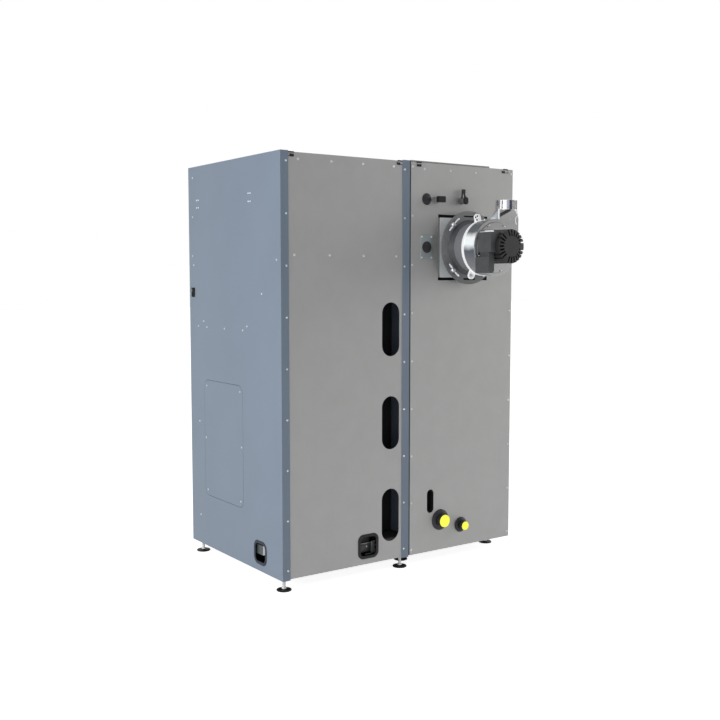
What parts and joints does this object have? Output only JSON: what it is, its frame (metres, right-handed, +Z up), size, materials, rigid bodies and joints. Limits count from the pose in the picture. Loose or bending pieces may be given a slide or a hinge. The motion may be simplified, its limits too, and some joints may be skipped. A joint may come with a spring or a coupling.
{
  "type": "pellet boiler",
  "caption": "Floor-standing pellet boiler: a pellet module beside a boiler module on levelling feet, with flue fan, water pipe ends and hose slots on its connection side.",
  "frame": {"origin": "on the floor, at the middle of the whole machine's bounding box", "axes": "+X to the right along the connection face, towards the boiler module; +Y from the connection face into the machine; +Z up"},
  "size_m": [1.086, 0.991, 1.542],
  "materials": {
    "painted_blue": "satin powder coat",
    "painted_grey": "satin powder coat",
    "seam_grey": "satin powder coat",
    "inside_black": "matte black",
    "black_plastic": "matte",
    "gearmotor_black": "satin black",
    "motor_black": "satin black",
    "zinc": "zinc plated",
    "flange_grey": "satin grey",
    "bright_steel": "bright sheet steel",
    "pipe_black": "semi-gloss black",
    "yellow_plastic": "gloss"
  },
  "bodies": {
    "root": {"left_side_panel": "painted_blue", "side_access_cover": "painted_blue", "side_cable_frame": "black_plastic", "side_latch": "black_plastic", "left_rear_panel": "painted_grey", "rear_cable_frame": "black_plastic", "left_inner_panel": "painted_blue", "left_top_cover": "painted_grey", "left_front_panel": "painted_blue", "left_base": "inside_black", "pellet_hopper": "inside_black", "feed_gearmotor": "gearmotor_black", "feed_duct": "zinc", "joining_strip": "seam_grey", "right_rear_panel": "painted_grey", "right_inner_panel": "painted_blue", "right_side_panel": "painted_blue", "right_top_cover": "painted_grey", "right_top_strip": "painted_grey", "right_front_panel": "painted_blue", "right_base": "inside_black", "boiler_body": "inside_black", "flue_box": "zinc", "fan_mounting_disc": "flange_grey", "fan_inlet_cone": "flange_grey", "housing_rim": "bright_steel", "fan_housing": "bright_steel", "outlet_spigot": "bright_steel", "motor_body": "motor_black", "motor_end": "motor_black", "terminal_box": "black_plastic", "connector_box": "black_plastic", "wing_nuts": "zinc", "round_plugs": "black_plastic", "sensor_connector": "black_plastic", "small_valve": "black_plastic", "bracket_plate": "zinc", "large_pipe": "pipe_black", "large_pipe_collar": "black_plastic", "small_pipe": "pipe_black", "small_pipe_collar": "black_plastic", "pipe_plugs": "yellow_plastic", "foot_pads": "black_plastic", "foot_stems": "zinc", "top_clips": "black_plastic"}
  },
  "joints": []
}
